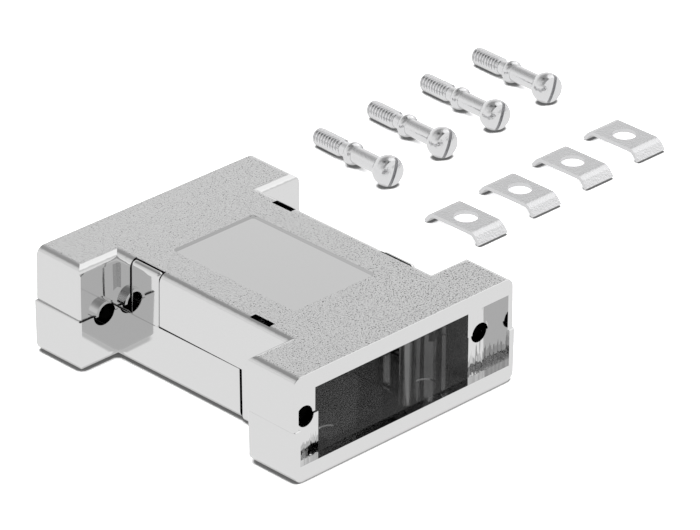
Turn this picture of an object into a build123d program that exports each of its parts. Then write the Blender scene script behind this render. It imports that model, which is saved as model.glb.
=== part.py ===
"""Adapter hood for two 15-way D-sub connectors joined back to back, with its loose fasteners.

The hood is two identical mouldings of metal-plated plastic, one turned over on the other about the X
axis. Each end has the same seat: a lip, a groove behind it that traps the connector's flange, and two
ears with the holes of the jackscrews. The four jackscrews and four spring clips lie beside the hood.

Units are millimetres. The origin is on the table under the middle of the hood, X is the hood's width,
Y its length with the front opening facing -Y, and +Z is up. The parting plane is at half the height.
"""
import os
from math import asin, atan2, cos, degrees, hypot, radians, sin, sqrt, tan

from build123d import *

os.makedirs("parts", exist_ok=True)

# Connector interface, the same at both ends
screw_pitch = 33.3
flange_width = 39.14
flange_height = 12.55
flange_thickness = 0.8
flange_side_play = 0.38
flange_height_play = 0.175
flange_end_play = 0.3
lip_opening_height = 11.2
lip_thickness = 1.3

# Outside of the closed hood
hood_length = 51.8
hood_width = 42.0
hood_height = 16.2
wing_depth = 9.3
body_width = 28.2
side_draft = 0.9
half_skew = 0.43
rim_round = 1.4
corner_round = 0.3
end_round = 0.15
parting_chamfer = 0.12

# Label recess in each half
label_width = 15.4
label_length = 24.4
label_depth = 0.3
label_corner = 0.4

# Inside of each half
body_wall = 1.8
chamber_width = 28.9
chamber_straight = 5.0
chamber_ramp = 1.3
chamber_end_width = 28.2
ear_relief = 0.08
pin_mark_radius = 1.8
pin_mark_depth = 0.12
pin_mark_x = 9.2
pin_mark_inset = 5.2

# Snap tongues: each half has one at two opposite corners of its body
tongue_width = 5.7
tongue_inset = 2.7
tongue_thickness = 1.0
tongue_root = 0.5
tongue_round = 0.8
tongue_corner = 0.5
tongue_side_gap = 0.18
tongue_back_gap = 0.35
tongue_top_gap = 0.05
nib_length = 3.6
nib_depth = 0.9
nib_height = 1.6
catch_clearance = 0.1
core_slot_length = 3.8
core_slot_width = 1.05
post_radius = 0.95
post_bite = 0.2
post_offset = 0.5

# Jackscrew, 4-40 UNC, slotted
thread_radius = 1.42
thread_length = 6.4
thread_chamfer = 0.3
neck_radius = 1.15
neck_length = 1.4
neck_taper = 0.4
collar_radius = 1.8
collar_length = 1.7
shank_radius = 1.33
head_radius = 2.4
head_crown = 0.3
head_half_length = 1.28
slot_width = 0.6
slot_depth = 0.9
slot_turn = 22.0
hole_clearance = 0.105
bore_clearance = 0.15
screw_travel = 2.4
stop_hole_radius = 1.55
stop_overlap = 0.05
stop_depth = 0.6
stop_reach = 0.7

# Spring clip, stamped sheet
clip_thickness = 0.6
clip_width = 5.9
clip_height = 1.9
clip_hole_radius = 1.85
clip_flat_half = 4.4
clip_bend_radius = 0.9
clip_leg_angle = 48.0
clip_lip_angle = 50.0

# Where the loose fasteners lie: the middle of the first one, and the step to the next
fastener_count = 4
screw_row = (50.8, 35.35)
screw_step = (12.46, 1.0)
screw_yaw = 6.6
clip_row = (48.5, 10.1)
clip_step = (12.15, 0.73)

# Values that follow from the ones above
half_height = hood_height / 2
half_length = hood_length / 2
half_body = body_width / 2
step_y = half_length - wing_depth
groove_depth = flange_thickness + flange_end_play
ear_face_y = half_length - lip_thickness - groove_depth
seat_half_width = flange_width / 2 + flange_side_play
chamber_half_height = flange_height / 2 + flange_height_play
floor_thickness = half_height - chamber_half_height
ramp_start_y = ear_face_y - chamber_straight
chamber_end_y = ramp_start_y - chamber_ramp
tunnel_half_width = half_body - body_wall
screw_hole_radius = thread_radius + hole_clearance
screw_bore_radius = collar_radius + bore_clearance
ear_depth = ear_face_y - step_y
tongue_y = step_y - tongue_inset - tongue_width / 2
tongue_inner_x = half_body - tongue_thickness
tongue_top = hood_height - tongue_top_gap
nib_top = hood_height - floor_thickness - catch_clearance
nib_ledge = nib_top - nib_height

# The walls of the two halves are turned a little about Z against each other, as snapped together
skewed_plane = Plane.XY.offset(half_height).rotated((0, 0, half_skew))

# A quarter of the hollow's outline: the chamber behind the ears, its ramp, and the tunnel
hollow_quarter = [
    (chamber_width / 2, ear_face_y),
    (chamber_width / 2, ramp_start_y),
    (chamber_end_width / 2, chamber_end_y),
    (tunnel_half_width, chamber_end_y),
]


def mirrored(quarter):
    """The closed outline whose first quarter is given, symmetric about X and Y."""
    right = quarter + [(x, -y) for x, y in reversed(quarter)]
    return right + [(-x, -y) for x, y in right]


def four_ways(x, y):
    """A point and its mirror images about X and Y."""
    return [(side * x, end * y) for side in (-1, 1) for end in (-1, 1)]


def upright(edge):
    """True for an edge that stands nearly along Z, drafted or not."""
    return abs((edge % 0.5).Z) > cos(radians(3 * side_draft))


def at_an_end(edge):
    """True for an upright edge on one of the hood's two end faces."""
    return upright(edge) and abs((edge @ 0.5).Y) > half_length - corner_round


def rounded_bar(width, start_y):
    """A drafted bar from start_y to past the end of the hood, from the parting plane to the base.

    The round of its base and the rounds of its uprights are made on two copies of the bar, whose
    common part has both.
    """
    with BuildPart() as bar:
        with BuildSketch(skewed_plane):
            with Locations((0, (start_y + hood_length) / 2)):
                Rectangle(width, hood_length - start_y)
        extrude(amount=-half_height, taper=side_draft)
    with BuildPart() as round_based:
        add(bar.part)
        fillet(round_based.edges().group_by(Axis.Z)[0], radius=rim_round)
    with BuildPart() as round_cornered:
        add(bar.part)
        fillet(round_cornered.edges().filter_by(upright), radius=corner_round)
    with BuildPart() as common:
        add(round_based.part)
        add(round_cornered.part, mode=Mode.INTERSECT)
    return common.part


# One snap tongue, at the rear left: it rises from the lower half beside the upper half's wall
with BuildPart() as tongue:
    lean = half_height * tan(radians(side_draft))
    with BuildSketch(Plane.XZ.offset(-tongue_y)):
        Polygon(
            (-half_body, half_height - tongue_root),
            (-half_body, half_height),
            (-half_body + lean, tongue_top),
            (-tongue_inner_x, tongue_top),
            (-tongue_inner_x, half_height - tongue_root),
            align=None,
        )
    extrude(amount=tongue_width / 2, both=True)
    top_edges = tongue.edges().group_by(Axis.Z)[-1]
    fillet(top_edges.filter_by(Axis.Y).sort_by(Axis.X)[0], radius=tongue_round)
    fillet(tongue.faces().sort_by(Axis.Z)[-1].edges().filter_by(Axis.X), radius=tongue_corner)
    with BuildSketch(Plane.XZ.offset(-tongue_y)):
        Polygon(
            (-tongue_inner_x, nib_ledge),
            (-tongue_inner_x + nib_depth, nib_ledge),
            (-tongue_inner_x + nib_depth, nib_ledge + nib_height / 3),
            (-tongue_inner_x, nib_top),
            align=None,
        )
    extrude(amount=nib_length / 2, both=True)

# One screw stop, at the rear right: a half ring that closes the outer end of the screw's bore, so that
# the screw's collar can't leave it, and stands out a little round the shank
with BuildPart() as screw_stop:
    with BuildSketch(Plane.XZ.offset(stop_reach - step_y)):
        with Locations((screw_pitch / 2, half_height)):
            Circle(screw_bore_radius + stop_overlap)
            Circle(stop_hole_radius, mode=Mode.SUBTRACT)
            Rectangle(hood_height, hood_height, align=(Align.CENTER, Align.MAX), mode=Mode.INTERSECT)
    extrude(amount=-stop_reach - stop_depth)

# Lower half: base on the table, open side up at the parting plane
wing_bar = rounded_bar(hood_width, step_y)
body_bar = rounded_bar(body_width, -hood_length)
with BuildPart() as lower_shell:
    # An H seen from above: two wings joined by the narrower body, with square ends
    add(wing_bar)
    add(wing_bar, rotation=(0, 0, 180))
    add(body_bar)
    with BuildSketch(Plane.XY):
        Rectangle(2 * hood_width, hood_length)
    extrude(amount=hood_height, mode=Mode.INTERSECT)
    fillet(lower_shell.edges().filter_by(at_an_end), radius=end_round)
    chamfer(lower_shell.faces().sort_by(Axis.Z)[-1].edges(), length=parting_chamfer)

    # Recess for a label in the base
    with BuildSketch(Plane.XY):
        RectangleRounded(label_width, label_length, label_corner)
    extrude(amount=label_depth, mode=Mode.SUBTRACT)

    # Chamber at each end and the tunnel between them, down to the floor
    with BuildSketch(skewed_plane):
        Polygon(*mirrored(hollow_quarter), align=None)
    extrude(amount=-chamber_half_height, mode=Mode.SUBTRACT)

    # Groove for the flange behind the lip, and the lip's own lower opening
    groove_y = ear_face_y + groove_depth / 2
    with BuildSketch(skewed_plane):
        with Locations((0, groove_y), (0, -groove_y)):
            Rectangle(2 * seat_half_width, groove_depth)
    extrude(amount=-chamber_half_height, mode=Mode.SUBTRACT)
    with BuildSketch(skewed_plane):
        with Locations((0, half_length), (0, -half_length)):
            Rectangle(2 * seat_half_width, 2 * lip_thickness)
    extrude(amount=-lip_opening_height / 2, mode=Mode.SUBTRACT)

    # The ears' tops stand a little below the parting plane, so that the outer walls close first
    ear_width = seat_half_width - chamber_width / 2
    ear_top_depth = ear_depth - body_wall
    with BuildSketch(skewed_plane):
        with Locations(*four_ways(seat_half_width - ear_width / 2, ear_face_y - ear_top_depth / 2)):
            Rectangle(ear_width, ear_top_depth)
    extrude(amount=-ear_relief, mode=Mode.SUBTRACT)

    # Half of each screw hole: thread clearance through the web, then the bore of the collar
    for side, end in four_ways(1, 1):
        hole_plane = Plane(
            origin=(side * screw_pitch / 2, end * ear_face_y, half_height), z_dir=(0, -end, 0)
        )
        with BuildSketch(hole_plane.offset(-groove_depth / 2)):
            Circle(screw_hole_radius)
        extrude(amount=groove_depth / 2 + neck_length, mode=Mode.SUBTRACT)
        with BuildSketch(hole_plane.offset(neck_length)):
            Circle(screw_bore_radius)
        extrude(amount=wing_depth, mode=Mode.SUBTRACT)

    # Screw stops beside the notches of the other half's tongues
    add(screw_stop.part)
    add(screw_stop.part, rotation=(0, 0, 180))

    # Marks of the ejector pins in the chamber floors
    with BuildSketch(Plane.XY.offset(floor_thickness)):
        with Locations(*four_ways(pin_mark_x, half_length - pin_mark_inset)):
            Circle(pin_mark_radius)
    extrude(amount=-pin_mark_depth, mode=Mode.SUBTRACT)

    # Notches for the other half's tongues, at the rear right and front left, down through the base
    notch_width = tongue_width + 2 * tongue_side_gap
    notch_inner_x = tongue_inner_x - tongue_back_gap
    with BuildSketch(Plane.XY):
        with Locations(*[(s * (notch_inner_x + half_body), s * tongue_y) for s in (-1, 1)]):
            Rectangle(2 * half_body, notch_width)
    extrude(amount=half_height, mode=Mode.SUBTRACT)

    # Windows in the thin wall behind the notches, for the nibs of those tongues
    window_height = nib_height + 2 * catch_clearance
    with BuildSketch(Plane.XY.offset(floor_thickness)):
        with Locations(*[(s * notch_inner_x, s * tongue_y) for s in (-1, 1)]):
            Rectangle(body_wall, nib_length + 2 * catch_clearance)
    extrude(amount=window_height, mode=Mode.SUBTRACT)

    # Own tongues at the rear left and front right, each over the slot left by the core of its nib
    add(tongue.part)
    add(tongue.part, rotation=(0, 0, 180))
    slot_x = tongue_inner_x - core_slot_width / 2
    with BuildSketch(Plane.XY):
        with Locations((-slot_x, tongue_y), (slot_x, -tongue_y)):
            Rectangle(core_slot_width, core_slot_length)
    extrude(amount=half_height, mode=Mode.SUBTRACT)

    # Posts against the tunnel walls, beside the own tongues
    post_x = tunnel_half_width - post_radius + post_bite
    post_y = tongue_y + tongue_width / 2 + post_offset
    with BuildSketch(Plane.XY.offset(floor_thickness)):
        with Locations((-post_x, post_y), (post_x, -post_y)):
            Circle(post_radius)
    extrude(amount=chamber_half_height - ear_relief)

# Upper half: the same moulding turned over about the X axis
with BuildPart() as upper_shell:
    with Locations((0, 0, hood_height)):
        add(lower_shell.part, rotation=(180, 0, 0))

# Jackscrew, upright with the crown of its head at the origin and its thread up, as a turned profile
shank_length = ear_depth - neck_length - collar_length + screw_travel
head_edge_radius = sqrt(head_radius**2 - head_half_length**2)
head_middle = head_crown + head_half_length
head_end = head_middle + head_half_length
collar_start = head_end + shank_length
neck_start = collar_start + collar_length
thread_start = neck_start + neck_length
screw_length = thread_start + thread_length
with BuildPart() as jackscrew:
    with BuildSketch(Plane.XZ):
        with BuildLine():
            SagittaArc((0, 0), (head_edge_radius, head_crown), -head_crown / 4)
            ThreePointArc(
                (head_edge_radius, head_crown), (head_radius, head_middle), (head_edge_radius, head_end)
            )
            Polyline(
                (head_edge_radius, head_end), (shank_radius, head_end), (shank_radius, collar_start)
            )
            ThreePointArc(
                (shank_radius, collar_start),
                (collar_radius, collar_start + collar_length / 2),
                (neck_radius, neck_start),
            )
            Polyline(
                (neck_radius, neck_start),
                (neck_radius, thread_start - neck_taper),
                (thread_radius, thread_start),
                (thread_radius, screw_length - thread_chamfer),
                (thread_radius - thread_chamfer, screw_length),
                (0, screw_length),
                (0, 0),
            )
        make_face()
    revolve(axis=Axis.Z)
    with BuildSketch(Plane.XY):
        Rectangle(slot_width, 3 * head_radius)
    extrude(amount=slot_depth, mode=Mode.SUBTRACT)

# At rest the screw stands on the round of its head and on the edge of its thread's end
contact_reach = screw_length - thread_chamfer - head_middle
screw_tilt = degrees(
    asin(head_radius / hypot(thread_radius, contact_reach)) - atan2(thread_radius, contact_reach)
)
middle_reach = screw_length / 2 - head_middle
middle_height = head_radius - middle_reach * sin(radians(screw_tilt))

# Clip, with the middle of its hole over the origin and its long leg towards -Y
leg_foot = clip_thickness * cos(radians(clip_leg_angle))
lip_foot = clip_thickness * cos(radians(clip_lip_angle))
leg_run = (clip_height - leg_foot) / tan(radians(clip_leg_angle))
lip_run = (clip_height - lip_foot) / tan(radians(clip_lip_angle))
with BuildPart() as clip:
    with BuildSketch(Plane.YZ):
        with BuildLine():
            FilletPolyline(
                (-clip_flat_half - leg_run, leg_foot),
                (-clip_flat_half, clip_height),
                (clip_flat_half, clip_height),
                (clip_flat_half + lip_run, lip_foot),
                radius=clip_bend_radius + clip_thickness,
            )
            offset(amount=clip_thickness, side=Side.RIGHT)
        make_face()
    extrude(amount=clip_width / 2, both=True)
    with BuildSketch(Plane.XY.offset(clip_height)):
        Circle(clip_hole_radius)
    extrude(amount=-clip_height, mode=Mode.SUBTRACT)

lower_shell.part.label = "lower_shell"
upper_shell.part.label = "upper_shell"
export_step(lower_shell.part, "parts/lower_shell.step")
export_step(upper_shell.part, "parts/upper_shell.step")

# The four screws and the four clips lie in two rows at the right of the hood
for number in range(fastener_count):
    screw_place = (
        Pos(screw_row[0] + number * screw_step[0], screw_row[1] + number * screw_step[1], middle_height)
        * Rot(Z=-screw_yaw)
        * Rot(X=-90 - screw_tilt)
        * Pos(0, 0, -screw_length / 2)
        * Rot(Z=slot_turn)
    )
    clip_place = Pos(clip_row[0] + number * clip_step[0], clip_row[1] + number * clip_step[1], 0)
    for piece, place, name in ((jackscrew, screw_place, "jackscrew"), (clip, clip_place, "clip")):
        placed = piece.part.moved(place)
        placed.label = f"{name}_{number + 1}"
        export_step(placed, f"parts/{placed.label}.step")
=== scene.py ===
"""Looks of a metal-plated adapter hood with its loose jackscrews and clips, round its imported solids.

Everything is in metres in the solids' own frame: the origin is on the table under the middle of the
hood, the front opening faces -Y and +Z is up. The two shells and the clips keep their solids and get
a finish. The jackscrews are made again with their thread.
"""

import logging
import math
from dataclasses import dataclass

import bpy
import numpy as np
from mathutils import Matrix, Vector


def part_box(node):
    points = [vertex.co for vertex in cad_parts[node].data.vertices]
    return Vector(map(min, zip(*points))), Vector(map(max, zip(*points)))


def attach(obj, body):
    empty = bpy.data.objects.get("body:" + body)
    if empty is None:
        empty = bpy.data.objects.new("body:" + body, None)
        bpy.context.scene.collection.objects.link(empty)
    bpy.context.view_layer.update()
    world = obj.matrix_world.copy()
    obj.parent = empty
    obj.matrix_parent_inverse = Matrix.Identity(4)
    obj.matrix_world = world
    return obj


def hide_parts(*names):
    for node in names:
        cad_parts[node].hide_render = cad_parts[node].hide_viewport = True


LOG = logging.getLogger("hood")
MM = 0.001
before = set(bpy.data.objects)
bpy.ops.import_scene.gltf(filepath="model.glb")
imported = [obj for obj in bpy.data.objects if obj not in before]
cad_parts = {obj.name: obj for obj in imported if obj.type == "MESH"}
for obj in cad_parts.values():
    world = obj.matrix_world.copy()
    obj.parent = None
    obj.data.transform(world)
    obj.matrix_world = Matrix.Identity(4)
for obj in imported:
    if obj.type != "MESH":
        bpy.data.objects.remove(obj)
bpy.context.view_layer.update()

Tree = bpy.types.NodeTree
Socket = bpy.types.NodeSocket
Triple = tuple[float, float, float]
# A box's middle and half its sizes, in mm
Box = tuple[Triple, Triple]


def linear(hex_colour: str) -> tuple[float, float, float, float]:
    """Turn an sRGB hex colour into linear light with full alpha.

    Args:
        hex_colour: six hex digits, such as "cfcfcf".

    Returns:
        Red, green, blue and alpha.
    """
    parts = [int(hex_colour[i:i + 2], 16) / 255 for i in (0, 2, 4)]
    light = [p / 12.92 if p <= 0.04045 else ((p + 0.055) / 1.055) ** 2.4 for p in parts]
    return (*light, 1.0)


def add_node(tree: Tree, kind: str, settings: dict | None = None, **inputs) -> bpy.types.Node:
    """Add a shader node, set its properties and fill or link its inputs.

    Args:
        tree: the node tree that gets the node.
        kind: the node's type name without its "ShaderNode" prefix.
        settings: the node's own properties by name.
        **inputs: a value or an output socket for each input, by the input's name with underscores
            for spaces, or by "in" and its number.

    Returns:
        The new node.
    """
    node = tree.nodes.new("ShaderNode" + kind)
    for name, value in (settings or {}).items():
        setattr(node, name, value)
    for name, value in inputs.items():
        socket = node.inputs[int(name[2:])] if name[2:].isdigit() else node.inputs[name.replace("_", " ")]
        if isinstance(value, bpy.types.NodeSocket):
            tree.links.new(value, socket)
        else:
            socket.default_value = value
    return node


def combine(tree: Tree, kind: str, *values: float | Socket) -> Socket:
    """Join numbers or sockets with one Math operation, from the first to the last.

    Args:
        tree: the tree that gets the nodes.
        kind: the Math node's operation.
        *values: numbers or output sockets.

    Returns:
        The socket with the result.
    """
    result = values[0]
    for value in values[1:]:
        result = add_node(tree, "Math", {"operation": kind}, in0=result, in1=value).outputs[0]
    return result


def combine_vectors(tree: Tree, kind: str, first: Triple | Socket, second: Triple | Socket) -> Socket:
    """Join two vectors with a Vector Math operation that gives a vector.

    Args:
        tree: the tree that gets the node.
        kind: the Vector Math node's operation.
        first: the first vector or socket.
        second: the second vector or socket.

    Returns:
        The socket with the result.
    """
    return add_node(tree, "VectorMath", {"operation": kind}, in0=first, in1=second).outputs[0]


def magnitudes(tree: Tree, vector: Socket) -> Socket:
    """Take the sign off each of a vector's parts.

    Args:
        tree: the tree that gets the node.
        vector: the vector.

    Returns:
        The socket with the result.
    """
    return add_node(tree, "VectorMath", {"operation": "ABSOLUTE"}, in0=vector).outputs[0]


def separate(tree: Tree, vector: Socket) -> bpy.types.NodeOutputs:
    """Take a vector apart.

    Args:
        tree: the tree that gets the node.
        vector: the vector.

    Returns:
        The three sockets, X, Y and Z.
    """
    return add_node(tree, "SeparateXYZ", Vector=vector).outputs


def remap(
    tree: Tree, value: Socket, source: tuple[float, float] = (0.0, 1.0),
    target: tuple[float, float] = (0.0, 1.0), curve: str = "LINEAR",
) -> Socket:
    """Carry a value from one range to another, and hold it at the ends.

    Args:
        tree: the tree that gets the node.
        value: the value.
        source: where its range starts and ends.
        target: what the start and the end become.
        curve: the Map Range node's interpolation.

    Returns:
        The socket with the result.
    """
    node = add_node(
        tree, "MapRange", {"interpolation_type": curve}, Value=value,
        From_Min=source[0], From_Max=source[1], To_Min=target[0], To_Max=target[1],
    )
    return node.outputs[0]


def choose(tree: Tree, mask: Socket, off: float | Socket, on: float | Socket) -> Socket:
    """Give one number where a mask is 0 and another where it is 1.

    Args:
        tree: the tree that gets the node.
        mask: the mask.
        off: the number where the mask is 0.
        on: the number where it is 1.

    Returns:
        The socket with the result.
    """
    return add_node(tree, "Mix", {"data_type": "FLOAT"}, in0=mask, in2=off, in3=on).outputs[0]


def inside_box(tree: Tree, place: Socket, box: Box) -> Socket:
    """Tell whether a point is in a box.

    Args:
        tree: the material's node tree.
        place: the point, in metres.
        box: the box, in mm.

    Returns:
        A socket that is 1 inside the box and 0 outside.
    """
    centre, half = (tuple(value * MM for value in side) for side in box)
    folded = magnitudes(tree, combine_vectors(tree, "SUBTRACT", place, centre))
    beyond = separate(tree, combine_vectors(tree, "SUBTRACT", folded, half))
    return combine(tree, "LESS_THAN", combine(tree, "MAXIMUM", beyond[0], beyond[1], beyond[2]), 0.0)


def new_material(name: str) -> tuple[bpy.types.Material, Tree]:
    """Start a material whose node tree is empty.

    Args:
        name: the finish's plain name.

    Returns:
        The material and its node tree.
    """
    material = bpy.data.materials.new(name)
    material.use_nodes = True
    material.node_tree.nodes.clear()
    return material, material.node_tree


def close_material(tree: Tree, shader: Socket) -> None:
    """Send a shader to the material's surface.

    Args:
        tree: the material's node tree.
        shader: the shader's output socket.
    """
    add_node(tree, "OutputMaterial", Surface=shader)


def dress(piece: bpy.types.Object, material: bpy.types.Material) -> None:
    """Give a whole piece one material.

    Args:
        piece: a mesh object.
        material: the material for all its faces.
    """
    piece.data.materials.clear()
    piece.data.materials.append(material)


@dataclass(frozen=True)
class ShellPlating:
    """Bright nickel-chrome plating on moulded ABS.

    The mould's polished walls plate to a mirror. Its top and base were spark-eroded, so their plating
    has a grain of shallow pits that flash light and dark, but for the smooth label recess; the pits'
    colour is duller plating with painted shade, more of it towards the front right as the light falls.
    The plating is thinner in the chambers and the tunnel, where less current reached, and its colour
    there is darkened further as painted shade in these recesses. The screw holes, the slots, the seam
    between the halves and the gaps round the tongues get near-black painted shade.
    """

    colour: str = "dadada"
    wall_roughness: float = 0.05

    grain_roughness: float = 0.2
    grain_size: float = 0.21 * MM
    grain_depth: float = 0.06 * MM
    grain_detail: float = 2.0
    grain_persistence: float = 0.6
    face_margin: float = 0.03 * MM
    level_cosine: float = 0.99

    # The pits' colour: duller plating there, darkened further as painted shade
    pit_shade_colour: str = "404040"
    # The pits are painted in shade where the noise is under a level, which rises from rear left to front
    # right, so more shade is painted towards the front right
    pit_level_rear_left: float = 0.325
    pit_level_front_right: float = 0.38
    pit_edge: float = 0.05
    pit_diagonal: Triple = (0.6, -0.8, 0.0)
    pit_reach: float = 25 * MM

    # Painted shade in the chambers and the tunnel: a darker colour laid over the thinner plating there
    thin_and_shaded_colour: str = "b8b8b8"
    thin_roughness: float = 0.04
    thin_metallic: float = 0.8
    chamber_box: Box = ((0.0, 20.1, 0.0), (14.65, 3.35, 6.6))
    tunnel_box: Box = ((0.0, 0.0, 0.0), (12.6, 23.45, 6.6))

    # Painted shade: near black in the screw holes, the slots, the seam between the halves and the gaps round
    # the tongues
    hollow_shade_colour: str = "343434"
    hole_x: float = 16.65 * MM
    hole_radius: float = 1.97 * MM
    hole_reach: tuple[float, float] = (16.0 * MM, 23.3 * MM)
    slot_and_seam_boxes: tuple[Box, ...] = (
        ((12.575, 11.05, 7.5), (0.54, 1.93, 0.58)),
        ((14.0, 0.0, 0.0), (0.6, 8.1, 0.09)),
        ((17.6, 15.35, 0.0), (3.6, 1.4, 0.09)),
    )
    gap_boxes: tuple[Box, ...] = (
        ((13.4, 8.11, 4.0), (0.75, 0.1, 4.1)),
        ((13.4, 13.99, 4.0), (0.75, 0.1, 4.1)),
    )

    draw_width: float = 0.35 * MM
    draw_length: float = 9.0 * MM
    draw_slope: float = 0.5
    draw_detail: float = 2.0
    ear_box: Box = ((17.3, 23.8, 0.0), (2.8, 0.6, 6.6))

    def grained(self, tree: Tree, height: Socket, base: float, top: float) -> Socket:
        """Tell where the grain is: on the level parts of the top and base faces.

        Args:
            tree: the material's node tree.
            height: the point's height.
            base: height of the base face.
            top: height of the top face.

        Returns:
            A socket that is 1 on the grain and 0 elsewhere.
        """
        on_top = combine(tree, "GREATER_THAN", height, top - self.face_margin)
        on_base = combine(tree, "LESS_THAN", height, base + self.face_margin)
        facing = separate(tree, add_node(tree, "NewGeometry").outputs["True Normal"])["Z"]
        steepness = add_node(tree, "Math", {"operation": "ABSOLUTE"}, in0=facing).outputs[0]
        level = combine(tree, "GREATER_THAN", steepness, self.level_cosine)
        return combine(tree, "MULTIPLY", combine(tree, "MAXIMUM", on_top, on_base), level)

    def thin_and_shaded(self, tree: Tree, folded: Socket) -> Socket:
        """Tell where the plating is thinner and shade is painted: in the chambers and the tunnel.

        Args:
            tree: the material's node tree.
            folded: the point's distances from the hood's three middle planes.

        Returns:
            A socket that is 1 where the plating is thinner and painted in shade, and 0 elsewhere.
        """
        boxes = (inside_box(tree, folded, box) for box in (self.chamber_box, self.tunnel_box))
        return combine(tree, "MAXIMUM", *boxes)

    def dark(self, tree: Tree, centred: Socket, folded: Socket) -> Socket:
        """Tell where near-black shade is painted: in the screw holes, the slots, the seam and the gaps.

        Args:
            tree: the material's node tree.
            centred: the point measured from the hood's middle.
            folded: the point's distances from the hood's three middle planes.

        Returns:
            A socket that is 1 where the shade is painted and 0 elsewhere.
        """
        sides = separate(tree, folded)
        across = combine(tree, "SUBTRACT", sides["X"], self.hole_x)
        squares = combine(
            tree, "ADD",
            combine(tree, "MULTIPLY", across, across), combine(tree, "MULTIPLY", sides["Z"], sides["Z"]),
        )
        near = combine(tree, "LESS_THAN", squares, self.hole_radius**2)
        # The painted shade starts past the stops that stand out round the holes, so their rims keep the
        # plating's colour
        past_rim = combine(tree, "GREATER_THAN", sides["Y"], self.hole_reach[0])
        within = combine(tree, "LESS_THAN", sides["Y"], self.hole_reach[1])
        hole = combine(tree, "MULTIPLY", near, past_rim, within)
        slots_and_seams = (inside_box(tree, folded, box) for box in self.slot_and_seam_boxes)
        gaps = (inside_box(tree, folded, box) for box in self.gap_boxes)
        # The tongues rise at two opposite corners of the body, and come down at the other two
        corner = separate(tree, centred)
        product = combine(tree, "MULTIPLY", corner["X"], corner["Y"], corner["Z"])
        at_tongue = combine(tree, "LESS_THAN", product, 0.0)
        gap = combine(tree, "MULTIPLY", combine(tree, "MAXIMUM", *gaps), at_tongue)
        return combine(tree, "MAXIMUM", hole, *slots_and_seams, gap)

    def drawn(self, tree: Tree, place: Socket, folded: Socket) -> Socket:
        """Make the slopes of the draw marks that run up the ears' faces.

        Args:
            tree: the material's node tree.
            place: the point.
            folded: the point's distances from the hood's three middle planes.

        Returns:
            A vector socket with what the marks add to the normal.
        """
        stretch = (1 / self.draw_width, 1 / self.draw_width, 1 / self.draw_length)
        stretched = combine_vectors(tree, "MULTIPLY", place, stretch)
        marks = add_node(tree, "TexNoise", Vector=stretched, Scale=1.0, Detail=self.draw_detail)
        slopes = combine_vectors(tree, "SUBTRACT", marks.outputs["Color"], (0.5, 0.5, 0.5))
        slope = combine(tree, "MULTIPLY", inside_box(tree, folded, self.ear_box), self.draw_slope)
        return add_node(tree, "VectorMath", {"operation": "SCALE"}, in0=slopes, Scale=slope).outputs[0]

    def pits(self, tree: Tree, place: Socket, grain: Socket) -> Socket:
        """Tell where shade is painted in the grain's pits: crowded at the front right, sparse at the rear
        left, as the light falls.

        Args:
            tree: the material's node tree.
            place: the point.
            grain: the grain's noise.

        Returns:
            A socket that is 1 in a pit and 0 on open metal.
        """
        along = add_node(
            tree, "VectorMath", {"operation": "DOT_PRODUCT"}, in0=place, in1=self.pit_diagonal
        ).outputs["Value"]
        level = remap(tree, along, (-self.pit_reach, self.pit_reach), (self.pit_level_rear_left, self.pit_level_front_right))
        over = combine(tree, "SUBTRACT", grain, level)
        return combine(tree, "SUBTRACT", 1.0, remap(tree, over, (0.0, self.pit_edge)))

    def build(self, base: float, top: float) -> bpy.types.Material:
        """Make the material.

        Args:
            base: height of the grained base face.
            top: height of the grained top face.

        Returns:
            The material.
        """
        material, tree = new_material("plated_abs")
        place = add_node(tree, "TexCoord").outputs["Object"]
        centred = combine_vectors(tree, "SUBTRACT", place, (0.0, 0.0, (base + top) / 2))
        folded = magnitudes(tree, centred)
        grained = self.grained(tree, separate(tree, place)["Z"], base, top)
        thin_and_shaded = self.thin_and_shaded(tree, folded)
        dark = self.dark(tree, centred, folded)

        grain = add_node(
            tree, "TexNoise", Vector=place, Scale=1 / self.grain_size,
            Detail=self.grain_detail, Roughness=self.grain_persistence,
        ).outputs[0]
        pit = combine(tree, "MULTIPLY", self.pits(tree, place, grain), grained)
        normal = add_node(tree, "NewGeometry").outputs["Normal"]
        bump = add_node(
            tree, "Bump", Strength=1.0, Distance=self.grain_depth,
            Height=combine(tree, "MULTIPLY", grain, grained),
            Normal=combine_vectors(tree, "ADD", normal, self.drawn(tree, place, folded)),
        )

        # Over the plating's colour: painted shade in the chambers and the tunnel, near-black painted shade in
        # the holes, slots, seam and gaps, and painted shade in the grain's pits
        colour = linear(self.colour)
        for mask, other in ((thin_and_shaded, self.thin_and_shaded_colour), (dark, self.hollow_shade_colour), (pit, self.pit_shade_colour)):
            mix = add_node(tree, "Mix", {"data_type": "RGBA"}, in0=mask, in6=colour, in7=linear(other))
            colour = mix.outputs[2]
        smooth = remap(tree, thin_and_shaded, target=(self.wall_roughness, self.thin_roughness))
        rough = combine(tree, "MULTIPLY", grained, self.grain_roughness)
        shader = add_node(
            tree, "BsdfPrincipled", Base_Color=colour,
            Metallic=remap(tree, thin_and_shaded, target=(1.0, self.thin_metallic)),
            Roughness=combine(tree, "MAXIMUM", smooth, rough), Normal=bump.outputs[0],
        )
        close_material(tree, shader.outputs[0])
        return material


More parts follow.
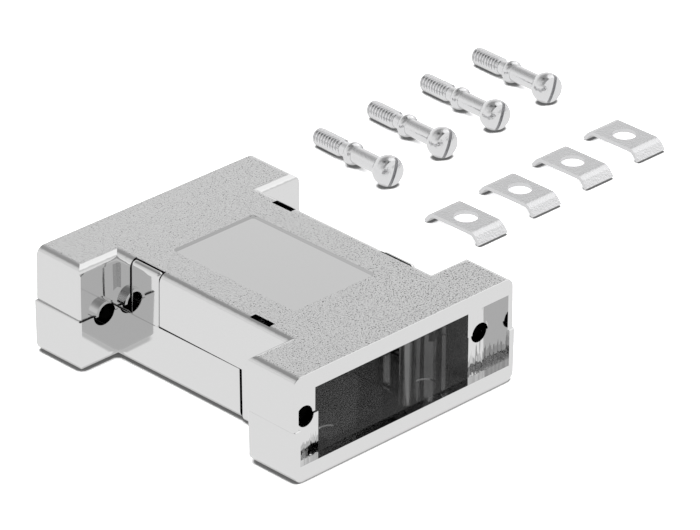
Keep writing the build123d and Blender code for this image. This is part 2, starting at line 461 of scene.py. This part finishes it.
@dataclass(frozen=True)
class MarkedMetal:
    """Bright metal with fine random marks: its name, colour and roughness, and the marks' sizes."""

    name: str
    colour: str
    roughness: float
    mark_spacing: float
    mark_depth: float
    mark_detail: float

    def build(self) -> bpy.types.Material:
        """Make the material.

        Returns:
            The material.
        """
        material, tree = new_material(self.name)
        place = add_node(tree, "TexCoord").outputs["Object"]
        marks = add_node(tree, "TexNoise", Vector=place, Scale=1 / self.mark_spacing, Detail=self.mark_detail)
        bump = add_node(tree, "Bump", Strength=1.0, Distance=self.mark_depth, Height=marks.outputs[0])
        shader = add_node(
            tree, "BsdfPrincipled", Base_Color=linear(self.colour), Metallic=1.0,
            Roughness=self.roughness, Normal=bump.outputs[0],
        )
        close_material(tree, shader.outputs[0])
        return material


# Nickel plating on turned steel: a soft mirror with faint marks left under the plate
SCREW_NICKEL = MarkedMetal(
    "nickel_plated_steel", "dcdcdd", roughness=0.14,
    mark_spacing=0.25 * MM, mark_depth=0.024 * MM, mark_detail=1.0,
)
# Bright sheet steel, stamped and tumbled: satin faces with fine random scratches
CLIP_STEEL = MarkedMetal(
    "tumbled_steel", "d6d6d7", roughness=0.24,
    mark_spacing=0.3 * MM, mark_depth=0.05 * MM, mark_detail=3.0,
)


def arc_through(first: complex, middle: complex, last: complex, count: int) -> np.ndarray:
    """Points on the circular arc through three points of the profile's plane.

    A point is a complex number: its place along the axis, plus i times its distance from the axis.

    Args:
        first: where the arc starts.
        middle: a point that it passes.
        last: where it ends.
        count: how many points, with both ends.

    Returns:
        An array of count rows of place and distance.
    """
    ratio = (last - first) / (middle - first)
    centre = first + (middle - first) * (ratio - abs(ratio) ** 2) / (2j * ratio.imag)
    to_middle = np.angle((middle - centre) / (first - centre))
    to_last = np.angle((last - centre) / (middle - centre))
    turn = np.linspace(0.0, to_middle + to_last, count)
    points = centre + (first - centre) * np.exp(1j * turn)
    return np.stack([points.real, points.imag], axis=1)


@dataclass(frozen=True)
class Jackscrew:
    """A slotted 4-40 UNC jackscrew, its head's crown at the origin and its thread up along Z.

    The widths of the thread's flats and its depth are shares of its pitch.
    """

    thread_radius: float = 1.42 * MM
    thread_length: float = 6.4 * MM
    thread_pitch: float = 25.4 / 40 * MM
    thread_chamfer: float = 0.3 * MM
    crest_flat: float = 0.125
    root_flat: float = 0.25
    depth_share: float = 0.61
    fade_turns: float = 0.6
    neck_radius: float = 1.15 * MM
    neck_length: float = 1.4 * MM
    collar_radius: float = 1.8 * MM
    collar_length: float = 1.7 * MM
    shank_radius: float = 1.33 * MM
    shank_length: float = 6.2 * MM
    head_radius: float = 2.4 * MM
    head_crown: float = 0.3 * MM
    head_half_length: float = 1.28 * MM
    slot_width: float = 0.6 * MM
    slot_depth: float = 0.9 * MM
    slot_overrun: float = 1.5
    around: int = 96
    rings_per_pitch: int = 20
    crown_rings: int = 10
    barrel_rings: int = 25
    collar_rings: int = 17

    @property
    def head_middle(self) -> float:
        """Place of the head's widest ring."""
        return self.head_crown + self.head_half_length

    @property
    def head_end(self) -> float:
        """Place where the head meets the shank."""
        return self.head_middle + self.head_half_length

    @property
    def collar_start(self) -> float:
        """Place where the shank meets the collar."""
        return self.head_end + self.shank_length

    @property
    def neck_start(self) -> float:
        """Place where the collar meets the neck."""
        return self.collar_start + self.collar_length

    @property
    def thread_start(self) -> float:
        """Place where the neck meets the thread."""
        return self.neck_start + self.neck_length

    @property
    def length(self) -> float:
        """The screw's whole length."""
        return self.thread_start + self.thread_length

    def plain_profile(self) -> np.ndarray:
        """Place and radius of each ring from the crown to the end of the neck.

        Returns:
            An array of rows of place and radius.
        """
        edge = math.sqrt(self.head_radius**2 - self.head_half_length**2)
        crown_edge = complex(self.head_crown, edge)
        # The middle of so shallow an arc stands a quarter of the crown off its chord
        crown_middle = crown_edge * (0.5 + 0.25j * self.head_crown / abs(crown_edge))
        crown = arc_through(0j, crown_middle, crown_edge, self.crown_rings)[1:]
        barrel = arc_through(
            crown_edge, complex(self.head_middle, self.head_radius), complex(self.head_end, edge),
            self.barrel_rings,
        )[1:]
        collar = arc_through(
            complex(self.collar_start, self.shank_radius),
            complex(self.collar_start + self.collar_length / 2, self.collar_radius),
            complex(self.neck_start, self.neck_radius), self.collar_rings,
        )
        shank = np.array([[self.head_end, self.shank_radius]])
        neck = np.array([[self.thread_start, self.neck_radius]])
        return np.concatenate([crown, barrel, shank, collar, neck])

    def thread_rings(self, angle: np.ndarray) -> tuple[np.ndarray, np.ndarray]:
        """Radius of the thread at each ring and angle.

        The distance from the middle of the helix's root, in half pitches, gives the root's flat, a
        straight flank and the crest's flat. The flanks fade in over the start of the first turn, where
        the root also goes from the neck's radius to its own, and a cone takes them away at the tip.

        Args:
            angle: the angles round the axis, in radians.

        Returns:
            The rings' places, and their radii as an array of rings by angles.
        """
        count = int(self.thread_length / self.thread_pitch * self.rings_per_pitch) + 1
        place = np.linspace(0.0, self.thread_length, count)[:, None]
        phase = place / self.thread_pitch - angle[None, :] / (2 * np.pi)
        from_root = 2 * np.abs(phase - np.floor(phase) - 0.5)
        depth = self.depth_share * self.thread_pitch
        core = self.thread_radius - depth
        ramp = np.clip((from_root - self.root_flat) / (1 - self.root_flat - self.crest_flat), 0.0, 1.0)
        fade = np.clip(place / (self.fade_turns * self.thread_pitch), 0.0, 1.0)
        radius = core + depth * ramp * fade
        root = self.neck_radius + (core - self.neck_radius) * np.clip(place / self.thread_pitch, 0, 1)
        cone = self.thread_radius - self.thread_chamfer + (self.thread_length - place)
        return self.thread_start + place[:, 0], np.minimum(np.maximum(radius, root), cone)

    def mesh(self, name: str) -> bpy.types.Mesh:
        """Carry the profile round the axis, close both ends and cut the slot.

        Args:
            name: the mesh's name.

        Returns:
            The mesh, still at the origin.
        """
        angle = np.linspace(0.0, 2 * np.pi, self.around, endpoint=False)
        plain = self.plain_profile()
        thread_place, thread_radius = self.thread_rings(angle)
        place = np.concatenate([plain[:, 0], thread_place[1:]])
        radius = np.concatenate([np.repeat(plain[:, 1:], self.around, axis=1), thread_radius[1:]])
        rings = len(place)
        points = np.stack([
            radius * np.cos(angle), radius * np.sin(angle), np.repeat(place[:, None], self.around, axis=1)
        ], axis=-1).reshape(-1, 3)
        points = np.concatenate([points, [[0, 0, 0], [0, 0, self.length]]])
        ring, step = np.meshgrid(np.arange(rings - 1), np.arange(self.around), indexing="ij")
        following = (step + 1) % self.around
        sides = np.stack([
            ring * self.around + step, ring * self.around + following,
            (ring + 1) * self.around + following, (ring + 1) * self.around + step,
        ], axis=-1).reshape(-1, 4)
        last, first_pole = (rings - 1) * self.around, rings * self.around
        here = np.arange(self.around)
        ahead = (here + 1) % self.around
        crown = np.stack([ahead, here, np.full_like(here, first_pole)], axis=1)
        tip = np.stack([last + here, last + ahead, np.full_like(here, first_pole + 1)], axis=1)
        mesh = bpy.data.meshes.new(name)
        mesh.from_pydata(points.tolist(), [], sides.tolist() + crown.tolist() + tip.tolist())
        mesh.update()
        return self.with_slot(mesh, name)

    def with_slot(self, mesh: bpy.types.Mesh, name: str) -> bpy.types.Mesh:
        """Cut the driver's slot across the crown.

        Args:
            mesh: the closed screw.
            name: the name of the mesh that is returned.

        Returns:
            The mesh with its slot.
        """
        half = np.array([self.slot_width / 2, self.slot_overrun * self.head_radius, self.slot_depth])
        corner = np.array([[x, y, z] for z in (-1, 1) for y in (-1, 1) for x in (-1, 1)]) * half
        sides = [(0, 2, 3, 1), (4, 5, 7, 6), (0, 1, 5, 4), (2, 6, 7, 3), (0, 4, 6, 2), (1, 3, 7, 5)]
        cutter_mesh = bpy.data.meshes.new("slot_cutter")
        cutter_mesh.from_pydata(corner.tolist(), [], sides)
        whole = bpy.data.objects.new("whole_screw", mesh)
        cutter = bpy.data.objects.new("slot_cutter", cutter_mesh)
        for part in (whole, cutter):
            bpy.context.scene.collection.objects.link(part)
        cut = whole.modifiers.new("slot", "BOOLEAN")
        cut.operation = "DIFFERENCE"
        cut.object = cutter
        cut.solver = "EXACT"
        state = bpy.context.evaluated_depsgraph_get()
        slotted = bpy.data.meshes.new_from_object(whole.evaluated_get(state))
        slotted.name = name
        for part in (whole, cutter):
            bpy.data.objects.remove(part)
        return slotted


@dataclass(frozen=True)
class ScrewRow:
    """The four jackscrews where they lie, each on the round of its head and its thread's end."""

    count: int = 4
    first: tuple[float, float] = (50.8 * MM, 35.35 * MM)
    step: tuple[float, float] = (12.46 * MM, 1.0 * MM)
    yaw: float = math.radians(6.6)
    slot_turn: float = math.radians(22.0)
    screw: Jackscrew = Jackscrew()
    sharp_angle: float = math.radians(35.0)

    def placing(self, number: int) -> Matrix:
        """Where a screw lies, as the matrix that takes the upright screw there.

        Args:
            number: the screw's place in the row, from 0.

        Returns:
            The matrix.
        """
        screw = self.screw
        reach = screw.length - screw.thread_chamfer - screw.head_middle
        tilt = (
            math.asin(screw.head_radius / math.hypot(screw.thread_radius, reach))
            - math.atan2(screw.thread_radius, reach)
        )
        height = screw.head_radius - (screw.length / 2 - screw.head_middle) * math.sin(tilt)
        x, y = (first + number * step for first, step in zip(self.first, self.step))
        return (
            Matrix.Translation((x, y, height))
            @ Matrix.Rotation(-self.yaw, 4, "Z")
            @ Matrix.Rotation(-math.pi / 2 - tilt, 4, "X")
            @ Matrix.Translation((0, 0, -screw.length / 2))
            @ Matrix.Rotation(self.slot_turn, 4, "Z")
        )

    def build(self, material: bpy.types.Material) -> None:
        """Make the screws and let each stand for its solid.

        Args:
            material: the screws' finish.
        """
        for number in range(self.count):
            node = f"jackscrew_{number + 1}"
            mesh = self.screw.mesh(f"threaded_{node}")
            mesh.transform(self.placing(number))
            mesh.shade_smooth()
            mesh.set_sharp_from_angle(angle=self.sharp_angle)
            piece = bpy.data.objects.new(f"threaded_{node}", mesh)
            bpy.context.scene.collection.objects.link(piece)
            dress(piece, material)
            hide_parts(node)
            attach(piece, "root")
            LOG.info("%s has %d faces", piece.name, len(mesh.polygons))


@dataclass(frozen=True)
class PlainSolids:
    """The solids that keep their own mesh: the two shells and the four clips."""

    lower_shell: str = "lower_shell"
    upper_shell: str = "upper_shell"
    clips: tuple[str, ...] = ("clip_1", "clip_2", "clip_3", "clip_4")

    def build(self) -> None:
        """Dress the shells and the clips."""
        plating = ShellPlating().build(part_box(self.lower_shell)[0].z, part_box(self.upper_shell)[1].z)
        shells = (self.lower_shell, self.upper_shell)
        for names, material in ((shells, plating), (self.clips, CLIP_STEEL.build())):
            for name in names:
                dress(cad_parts[name], material)
                LOG.info("%s is dressed as %s", name, material.name)


@dataclass(frozen=True)
class Panel:
    """A soft round light in the room that bright metal reflects, or a dark opening if under 0.

    Outer and inner are the cosines of the angles from its middle where it starts to show and where it
    is at full strength, over the light of the room.
    """

    facing: Triple
    outer: float
    inner: float
    strength: float

    def glow(self, tree: Tree, way: Socket) -> Socket:
        """Make the panel's light.

        Args:
            tree: the world's node tree.
            way: the direction that is looked along.

        Returns:
            The socket with the light.
        """
        towards = add_node(
            tree, "VectorMath", {"operation": "DOT_PRODUCT"}, in0=way, in1=Vector(self.facing).normalized()
        ).outputs["Value"]
        return remap(tree, towards, (self.outer, self.inner), (0.0, self.strength), "SMOOTHSTEP")


@dataclass(frozen=True)
class Studio:
    """A white table, even light all round and the photograph's camera."""

    azimuth: float = math.radians(-44.63)
    elevation: float = math.radians(28.17)
    roll: float = math.radians(0.40)
    distance: float = 683.4 * MM
    shift_right: float = -10.57 * MM
    shift_up: float = -6.70 * MM
    aim_height: float = 8.1 * MM
    focal_px: float = 4942.0
    picture_px: float = 700.0
    sensor_mm: float = 36.0

    table_half: float = 4.0
    table_gain: float = 0.8
    table_gain_seen: float = 2.2
    contact_reach: float = 1.0 * MM
    contact_rays: int = 16
    contact_limits: tuple[float, float] = (0.47, 0.74)
    contact_tone: float = 0.12
    mirrored_tone: float = 0.6
    second_mirror: float = 1.5
    second_tone: float = 0.8

    seen_light: float = 1.0
    diffuse_light: float = 0.9
    overhead_heights: tuple[float, float] = (0.28, 0.8)
    overhead_light: float = 0.36
    panels: tuple[Panel, ...] = (
        Panel((0.62, -0.1, 0.78), 0.80, 0.95, 0.85),
        Panel((-0.5, 0.4, 0.77), 0.90, 0.96, 0.3),
        Panel((-0.22, 0.36, 0.91), 0.975, 0.985, -0.36),
        Panel((0.13, -0.09, 0.99), 0.975, 0.985, -0.36),
    )

    def camera(self) -> None:
        """Stand the camera where the photograph was taken from."""
        back = Vector((
            math.sin(self.azimuth) * math.cos(self.elevation),
            -math.cos(self.azimuth) * math.cos(self.elevation),
            math.sin(self.elevation),
        ))
        level = Vector((math.cos(self.azimuth), math.sin(self.azimuth), 0.0))
        over = back.cross(level)
        right = level * math.cos(self.roll) + over * math.sin(self.roll)
        up = over * math.cos(self.roll) - level * math.sin(self.roll)
        place = back * self.distance - right * self.shift_right - up * self.shift_up
        place.z += self.aim_height
        lens = bpy.data.cameras.new("camera")
        lens.sensor_width = self.sensor_mm
        lens.lens = self.focal_px / self.picture_px * self.sensor_mm
        stand = bpy.data.objects.new("camera", lens)
        stand.matrix_world = Matrix((
            (right.x, up.x, back.x, place.x),
            (right.y, up.y, back.y, place.y),
            (right.z, up.z, back.z, place.z),
            (0.0, 0.0, 0.0, 1.0),
        ))
        bpy.context.scene.collection.objects.link(stand)
        bpy.context.scene.camera = stand

    def table(self) -> None:
        """Lay the white table.

        The camera and bright metal see it as pure white, with a painted shadow where the parts touch it. In
        metal the shadow is softer, and where the metal mirrors the table a second time the table is
        evenly duller, as painted shade for the nooks between the hood's walls.
        """
        h = self.table_half
        mesh = bpy.data.meshes.new("table")
        mesh.from_pydata([(-h, -h, 0), (h, -h, 0), (h, h, 0), (-h, h, 0)], [], [(0, 1, 2, 3)])
        piece = bpy.data.objects.new("table", mesh)
        bpy.context.scene.collection.objects.link(piece)
        material, tree = new_material("white_table")
        path = add_node(tree, "LightPath").outputs
        gain = remap(tree, path["Is Camera Ray"], target=(self.table_gain, self.table_gain_seen))
        sky = add_node(tree, "AmbientOcclusion", {"samples": self.contact_rays}, Distance=self.contact_reach)
        contact = remap(tree, sky.outputs["AO"], self.contact_limits, (self.contact_tone, 1.0))
        soft_contact = remap(tree, contact, target=(self.mirrored_tone, 1.0))
        again = combine(tree, "GREATER_THAN", path["Glossy Depth"], self.second_mirror)
        glow = choose(tree, again, soft_contact, self.second_tone)
        seen = add_node(tree, "BsdfDiffuse", Color=combine(tree, "MULTIPLY", gain, contact))
        mirrored = add_node(tree, "Emission", Strength=glow)
        mixed = add_node(
            tree, "MixShader", in0=path["Is Glossy Ray"], in1=seen.outputs[0], in2=mirrored.outputs[0]
        )
        close_material(tree, mixed.outputs[0])
        dress(piece, material)

    def world(self) -> None:
        """Light everything evenly, and give bright metal a room to reflect.

        The room is pale near the horizon and darker overhead. It has a bright panel on the right, a
        faint one on the left and two dark openings above.
        """
        world = bpy.data.worlds.new("studio")
        world.use_nodes = True
        bpy.context.scene.world = world
        tree = world.node_tree
        tree.nodes.clear()
        path = add_node(tree, "LightPath").outputs
        way = add_node(tree, "TexCoord").outputs["Generated"]
        height = separate(tree, way)["Z"]
        overhead = remap(tree, height, self.overhead_heights, (1.0, self.overhead_light), "SMOOTHSTEP")
        room = combine(tree, "ADD", overhead, *(panel.glow(tree, way) for panel in self.panels))
        unseen = choose(tree, path["Is Glossy Ray"], self.diffuse_light, room)
        level = choose(tree, path["Is Camera Ray"], unseen, self.seen_light)
        background = add_node(tree, "Background", Color=(1, 1, 1, 1), Strength=level)
        add_node(tree, "OutputWorld", Surface=background.outputs[0])

    def build(self) -> None:
        """Set up the camera, the table and the light."""
        self.camera()
        self.table()
        self.world()
        bpy.context.scene.view_settings.view_transform = "Standard"


def main() -> None:
    """Dress the solids, make the screws and set up the studio."""
    logging.basicConfig(level=logging.INFO, format="%(name)s: %(message)s")
    PlainSolids().build()
    ScrewRow().build(SCREW_NICKEL.build())
    Studio().build()


if __name__ == "__main__":
    main()
